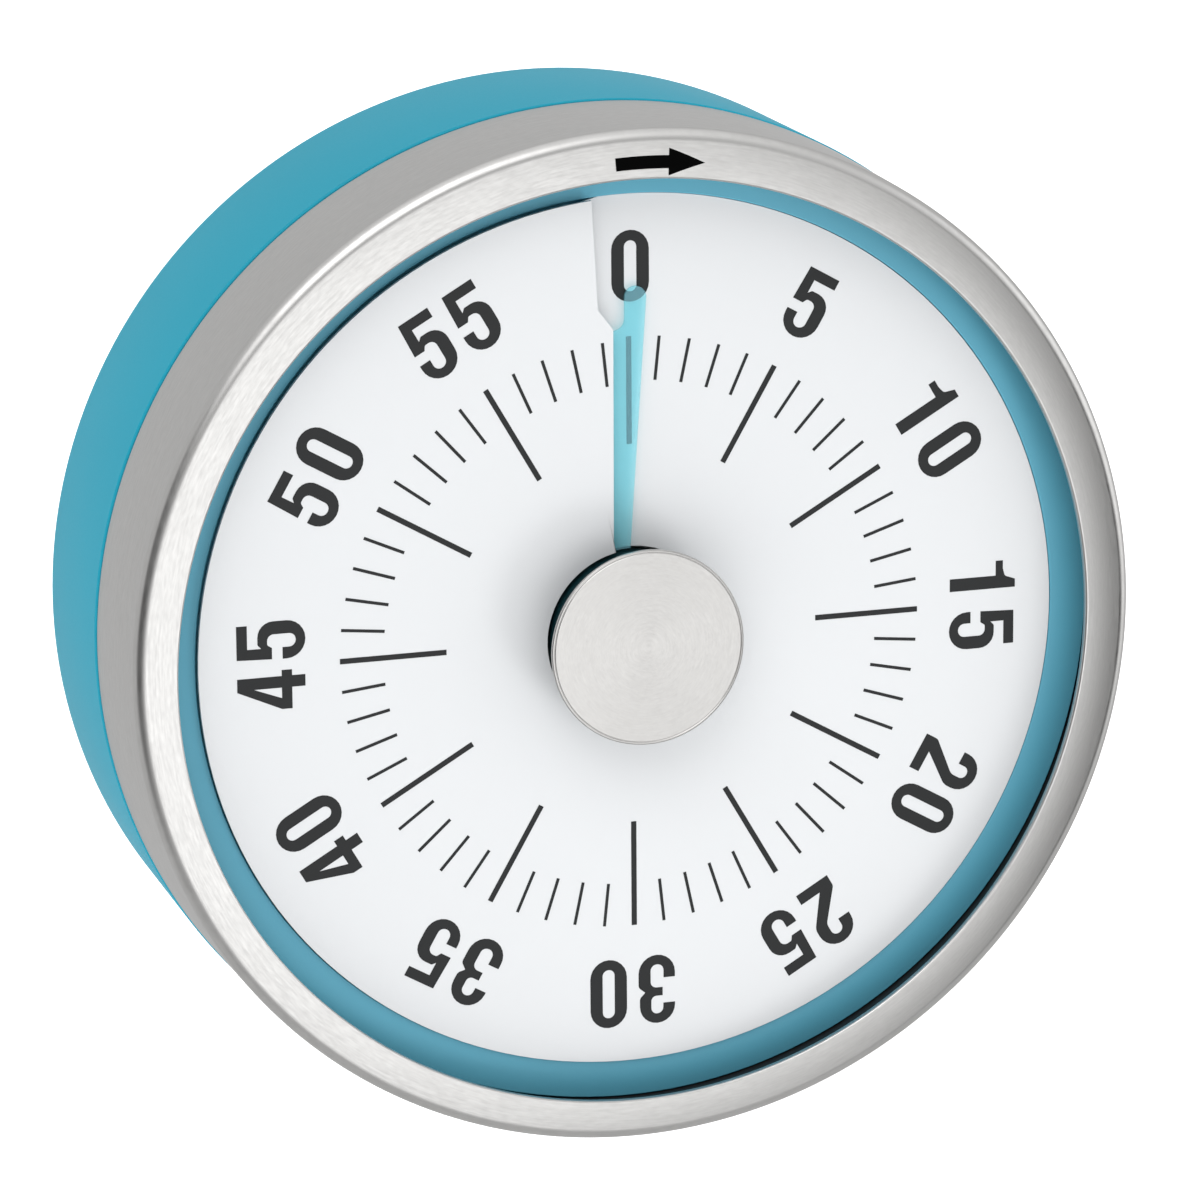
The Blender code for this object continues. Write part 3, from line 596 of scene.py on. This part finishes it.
def make_dial():
    """The dial's right lip starts low under its left lip, whose edge steps outwards at the pointer's tip."""
    radii = (DIAL_HOLE, 10.0, 14.0, 18.0, 23.2, 24.0, 24.8, 29.0, DIAL_RADIUS)
    columns = []
    for degrees in range(DIAL_START, DIAL_LAST + 1, DIAL_STEP):
        rim = DIAL_RADIUS - LIP_TRIM * min(max((-degrees - TRIM_FROM) / TRIM_OVER, 0.0), 1.0)
        columns.append([(*on_dial(min(radius, rim), degrees), dial_height(degrees)) for radius in radii])
    ends = [360 + math.degrees(math.asin(between(LIP_EDGE, radius) / radius)) for radius in radii]
    for part in (0.25, 0.5, 0.75, 1.0):
        column = []
        for radius, end in zip(radii, ends):
            degrees = DIAL_LAST + (end - DIAL_LAST) * part
            column.append((*on_dial(radius, degrees), dial_height(degrees)))
        columns.append(column)
    mesh = sheet("dial_plate", columns, SHEET)
    place("dial_plate", mesh, LOOKS["dial_white"], "case", ["dial"])


def box_outline(x0, y0, x1, y1, *fillet):
    return rounded([(x0, y0, *fillet), (x1, y0, *fillet), (x1, y1, *fillet), (x0, y1, *fillet)])


def glyphs():
    """The digits' outlines in glyph units, from the lower left of each digit's cell."""
    zero = [box_outline(0, -0.2, 11.5, 21.2, 5.74), box_outline(3.85, 2.9, 7.65, 18.1, 1.89)]
    one = [
        (0, 14.7),
        (4.6, 14.7),
        (4.6, 0),
        (8.5, 0),
        (8.5, 20.9),
        (6.0, 20.9),
        (4.8, 17.6, 1.2),
        (2.4, 17.0),
        (0, 17.0),
    ]
    two = [
        (0, 0),
        (11.4, 0),
        (11.4, 3.4),
        (4.6, 3.4),
        (11.55, 12.9, 4.0),
        (11.6, 21.2, 5.7),
        (0, 21.2, 5.7),
        (0, 14.1),
        (3.9, 14.1),
        (3.9, 18.1, 1.85),
        (7.7, 18.1, 1.85),
        (7.7, 13.4, 3.0),
        (0, 4.0, 2.0),
    ]
    three = [
        (0, -0.3, 5.7),
        (11.5, -0.3, 5.7),
        (11.5, 9.6, 1.6),
        (9.4, 11.3, 0.2),
        (11.1, 13.0, 1.6),
        (11.1, 21.2, 5.5),
        (0, 21.2, 5.5),
        (0, 15.0),
        (3.7, 15.0),
        (3.7, 18.2, 1.85),
        (7.5, 18.2, 1.85),
        (7.5, 12.6, 1.6),
        (3.9, 12.6),
        (3.9, 10.0),
        (7.7, 10.0, 1.9),
        (7.7, 2.7, 1.95),
        (3.6, 2.7, 1.95),
        (3.6, 7.0),
        (0, 7.0),
    ]
    four = [
        (0, 4.0),
        (6.5, 4.0),
        (6.5, 0),
        (10.0, 0),
        (10.0, 4.0),
        (11.8, 4.0),
        (11.8, 7.1),
        (10.0, 7.1),
        (10.0, 20.5),
        (6.0, 20.5),
        (0, 7.1),
    ]
    four_hole = [(3.3, 7.1), (6.5, 7.1), (6.5, 15.5)]
    five = [
        (0, -0.2, 5.7),
        (11.5, -0.2, 5.7),
        (11.5, 14.2, 4.7),
        (4.6, 14.2, 0.8),
        (3.5, 13.1),
        (3.5, 17.3),
        (10.7, 17.3),
        (10.7, 20.5),
        (0.5, 20.5),
        (0.1, 9.9),
        (3.5, 9.9),
        (4.4, 11.3, 0.8),
        (7.6, 11.3, 1.95),
        (7.6, 2.7, 2.0),
        (3.5, 2.7, 2.0),
        (3.5, 6.7),
        (0, 6.7),
    ]
    return {
        "0": zero,
        "1": [rounded(one)],
        "2": [rounded(two)],
        "3": [rounded(three)],
        "4": [rounded(four), rounded(four_hole)],
        "5": [rounded(five)],
    }


def make_marks():
    """The sixty minute marks and the twelve numbers, printed on the dial."""
    work = bmesh.new()

    def seat(x, y, degrees):
        """Settles a point, given across and out along the line at this angle, on the dial's front."""
        turn = degrees + math.degrees(math.atan2(x, y))
        return (*on_dial(math.hypot(x, y), turn), dial_height(turn) + SHEET / 2 - PRINT / 4)

    for minute in range(60):
        inner, width = MINUTE_MARK if minute % 5 else HOUR_MARK
        outline = box_outline(-width / 2, inner, width / 2, MARK_OUTER)
        stamp(work, [outline], lambda x, y, degrees=6 * minute: seat(x, y, degrees))
    shapes = glyphs()
    for label in range(12):
        text = str(5 * label)
        start = -(GLYPH_PITCH * (len(text) - 1) + GLYPH_WIDTH) / 2
        for index, digit in enumerate(text):
            left = start + index * GLYPH_PITCH

            def settle(u, v, left=left, degrees=30 * label):
                return seat((u + left) * GLYPH_UNIT + LABEL_SHIFT, v * GLYPH_UNIT + GLYPH_BASE, degrees)

            stamp(work, shapes[digit], settle)
    mesh = finished(work, "dial_marks")
    place("dial_marks", mesh, LOOKS["print"], "case", smooth=0)


# ---------------------------------------------------------------- coloured disc and knob


def film_height(degrees):
    return DIAL_LEVEL + RISE * degrees / 360


def make_time_film():
    """The see-through disc, whose leading edge carries a round-ended pointer past its rim."""
    radii = (HUB_RADIUS - SLIMMER + FILM_CLEARANCE, 10.0, 14.0, 18.0, DISC_RADIUS)
    rows = 6
    right = POINTER_EDGE[1][1]
    half = (right - POINTER_LEFT) / 2
    middle = (right + POINTER_LEFT) / 2
    round_from = POINTER_TIP - half

    def outer(x):
        """The outline's reach above this x near the pointer."""
        into = x - (POINTER_LEFT - POINTER_FILLET)
        if into <= 0:
            return DISC_RADIUS
        if x < POINTER_LEFT:
            return DISC_RADIUS + POINTER_FILLET - math.sqrt(max(POINTER_FILLET**2 - into**2, 0))
        return round_from + math.sqrt(max(half**2 - (x - middle) ** 2, 0))

    def column(x, top, degrees=None):
        """A column through x at the rim, which leans with the leading edge as it nears it."""
        points = []
        for radius in radii:
            if degrees is None:
                share = min(max((x - POINTER_LEFT) / (right - POINTER_LEFT), 0), 1)
                lead = between(POINTER_EDGE, radius)
                rest = POINTER_LEFT * radius / DISC_RADIUS
                angle = math.degrees(math.asin((rest + (lead - rest) * share) / radius))
            else:
                angle = degrees
            points.append((*on_dial(radius, angle), film_height(angle)))
        foot_x, foot_y, foot_depth = points[-1]
        for row in range(1, rows + 1):
            part = row / rows
            points.append((foot_x + (x - foot_x) * part, foot_y + (top - foot_y) * part, foot_depth))
        return points

    def plain(degrees):
        points = [(*on_dial(radius, degrees), film_height(degrees)) for radius in radii]
        return points + [points[-1]] * rows

    first = math.degrees(math.asin((POINTER_LEFT - POINTER_FILLET) / DISC_RADIUS))
    count = round((first - DISC_START) / 2)
    columns = [plain(DISC_START + (first - DISC_START) * index / count) for index in range(count + 1)]
    for step in range(1, 9):
        x = POINTER_LEFT - POINTER_FILLET * (1 - math.sin(TURN / 4 * step / 8))
        degrees = math.degrees(math.asin(x / DISC_RADIUS))
        columns.append(column(x, outer(min(x, POINTER_LEFT - 1e-6)), degrees))
    for step in range(17):
        x = middle - half * math.cos(TURN / 2 * step / 16)
        columns.append(column(x, outer(max(x, POINTER_LEFT))))
    mesh = sheet("time_film", columns, FILM)
    place("time_film", mesh, LOOKS["clear_teal"], "disc", ["time_disc"])


def make_hub():
    """The dark sleeve that carries the film. Its near-black is partly its own dark plastic and partly painted
    shade from the cap.
    """
    sleeve = HUB_RADIUS - SLIMMER
    mesh = turned(
        "film_hub",
        [(HUB_BORE, HUB_BACK), (HUB_BORE, HUB_FRONT, 0.15), (sleeve, HUB_FRONT, 0.3), (sleeve, HUB_BACK)],
        segments=128,
    )
    place("film_hub", mesh, LOOKS["knob_plastic"], "disc", ["disc_hub"])


def make_knob():
    """The steel cap, with a fine turned groove near its edge, on the knob's dark boss and hollow stem. The
    boss's near-black is partly painted shade from the cap.
    """
    under = CAP_FRONT - CAP_SHEET
    boss = HUB_RADIUS - SLIMMER
    mesh = turned(
        "steel_cap",
        [
            (0, CAP_FRONT),
            (CAP_RADIUS - 0.27, CAP_FRONT),
            (CAP_RADIUS - 0.22, CAP_FRONT - 0.05, 0.03),
            (CAP_RADIUS - 0.16, CAP_FRONT, 0.03),
            (CAP_RADIUS, CAP_FRONT, CAP_EDGE),
            (CAP_RADIUS, under, CAP_EDGE / 2),
            (0, under),
        ],
        segments=180,
        steps=4,
    )
    place("steel_cap", mesh, LOOKS["cap_steel"], "knob", ["knob_cap"])
    _, core_back, core_front = extent("knob_core")
    boss_back = core_front - BOSS_STEP
    mesh = turned(
        "knob_boss",
        [
            (0, under),
            (boss, under),
            (boss, boss_back, 0.15),
            (STEM_RADIUS, boss_back),
            (STEM_RADIUS, core_back),
            (STEM_BORE, core_back),
            (STEM_BORE, STEM_BORE_END),
            (0, STEM_BORE_END),
        ],
        segments=128,
    )
    place("knob_boss", mesh, LOOKS["knob_plastic"], "knob", ["knob_core"])


# ---------------------------------------------------------------- CAD nodes that stay


# Small edge roundings of the CAD nodes that show on the rear, in millimetres.
EASED = {
    "rear_cover": 0.12,
    "battery_door": 0.15,
    "magnet": 0.15,
    "magnet_yoke": 0.12,
    "volume_lever": 0.10,
    "duration_lever": 0.10,
    "cover_screw_1": 0.08,
    "cover_screw_2": 0.08,
    "cover_screw_3": 0.08,
    "cover_screw_4": 0.08,
}


def dress_cad():
    """Every CAD node that still shows gets the detailed look of its slot, and those in EASED get slightly
    eased edges.
    """
    for name, piece in frame["nodes"].items():
        if not piece.material_slots:
            continue
        slot = piece.material_slots[0].name.split(".")[0]
        piece.material_slots[0].material = LOOKS[slot]
        if name in EASED:
            bevel = piece.modifiers.new("eased", "BEVEL")
            bevel.width = EASED[name] * MM
            bevel.segments = 3
            bevel.limit_method = "ANGLE"
            bevel.angle_limit = math.radians(40)
            bevel.use_clamp_overlap = True


# ---------------------------------------------------------------- studio


def towards(azimuth, elevation):
    """A direction, with azimuth 0 in front of the dial and growing to its right."""
    a, e = math.radians(azimuth), math.radians(elevation)
    return Vector((math.sin(a) * math.cos(e), -math.cos(a) * math.cos(e), math.sin(e)))


def make_camera():
    """A long lens, in front of the dial, to its left and above it."""
    data = bpy.data.cameras.new("camera")
    data.sensor_width = 36.0
    data.lens = CAMERA_LENS
    data.clip_start, data.clip_end = 0.01, 100.0
    camera = bpy.data.objects.new("camera", data)
    pan = Matrix.Rotation(math.radians(CAMERA_AZIMUTH), 4, "Z")
    tilt = Matrix.Rotation(math.radians(90 - CAMERA_ELEVATION), 4, "X")
    roll = Matrix.Rotation(math.radians(CAMERA_ROLL), 4, "Z")
    where = Matrix.Translation(Vector(CAMERA_PLACE) * MM)
    camera.matrix_world = where @ (pan @ tilt) @ roll
    bpy.context.scene.collection.objects.link(camera)
    bpy.context.scene.camera = camera


def make_world():
    """A soft studio: an even surround with broad patches, and plain white behind the object."""
    world = bpy.data.worlds.new("studio")
    world.use_nodes = True
    tree = world.node_tree
    tree.nodes.clear()
    look_way = add(tree, "ShaderNodeTexCoord").outputs["Generated"]
    level = STUDIO_LEVEL
    for azimuth, elevation, inner, outer, gain in STUDIO_PATCHES:
        along = add(tree, "ShaderNodeVectorMath", {"operation": "DOT_PRODUCT"}, _0=look_way)
        along.inputs[1].default_value = towards(azimuth, elevation)
        ramp = add(
            tree,
            "ShaderNodeMapRange",
            {"interpolation_type": "SMOOTHSTEP"},
            _0=along.outputs["Value"],
            _1=math.cos(math.radians(outer)),
            _2=math.cos(math.radians(inner)),
            _3=0.0,
            _4=gain,
        )
        level = combine(tree, "ADD", ramp.outputs[0], level)
    studio = add(tree, "ShaderNodeBackground", None, Color=level)
    plain = add(tree, "ShaderNodeBackground", None, Color=WHITE, Strength=1.0)
    seen = add(tree, "ShaderNodeLightPath").outputs["Is Camera Ray"]
    mixed = add(tree, "ShaderNodeMixShader", None, _0=seen, _1=studio.outputs[0], _2=plain.outputs[0])
    output = add(tree, "ShaderNodeOutputWorld")
    tree.links.new(mixed.outputs[0], output.inputs["Surface"])
    bpy.context.scene.world = world


def make_key():
    """A small lamp to the lower right, which gives the knob its shadow on the dial."""
    data = bpy.data.lights.new("key", "AREA")
    data.shape = "RECTANGLE"
    data.size, data.size_y = KEY_SIZE, KEY_SIZE
    data.energy = KEY_POWER
    lamp = bpy.data.objects.new("key", data)
    way = towards(KEY_AZIMUTH, KEY_ELEVATION)
    lamp.location = way * KEY_DISTANCE
    lamp.rotation_euler = way.to_track_quat("Z", "Y").to_euler()
    lamp.visible_camera = False
    lamp.visible_glossy = False
    bpy.context.scene.collection.objects.link(lamp)


def make_floor():
    """A plain pale floor, well below the timer, which hangs from its magnet."""
    level = Matrix.Translation((0, 0, FLOOR_HEIGHT))
    work = bmesh.new()
    bmesh.ops.create_grid(work, x_segments=1, y_segments=1, size=FLOOR_REACH, matrix=level)
    mesh = bpy.data.meshes.new("floor")
    work.to_mesh(mesh)
    work.free()
    glow = {"emission_color": WHITE, "emission_strength": FLOOR_GLOW}
    look, tree, shader = new_look("look_floor", roughness=0.9, **glow)
    drift = blend_colours(tree, noise(tree, 3.0), shade(WHITE[:3], 0.88), shade(WHITE[:3], 0.9))
    tree.links.new(drift, shader.inputs["Base Color"])
    mesh.materials.append(look)
    floor = bpy.data.objects.new("floor", mesh)
    floor.visible_glossy = False
    bpy.context.scene.collection.objects.link(floor)


def main():
    make_camera()
    make_world()
    make_key()
    make_floor()
    make_body()
    make_bezel()
    make_turn_arrow()
    make_surround()
    make_dial()
    make_marks()
    make_time_film()
    make_hub()
    make_knob()
    dress_cad()
    bpy.context.scene.view_settings.view_transform = "Standard"


main()
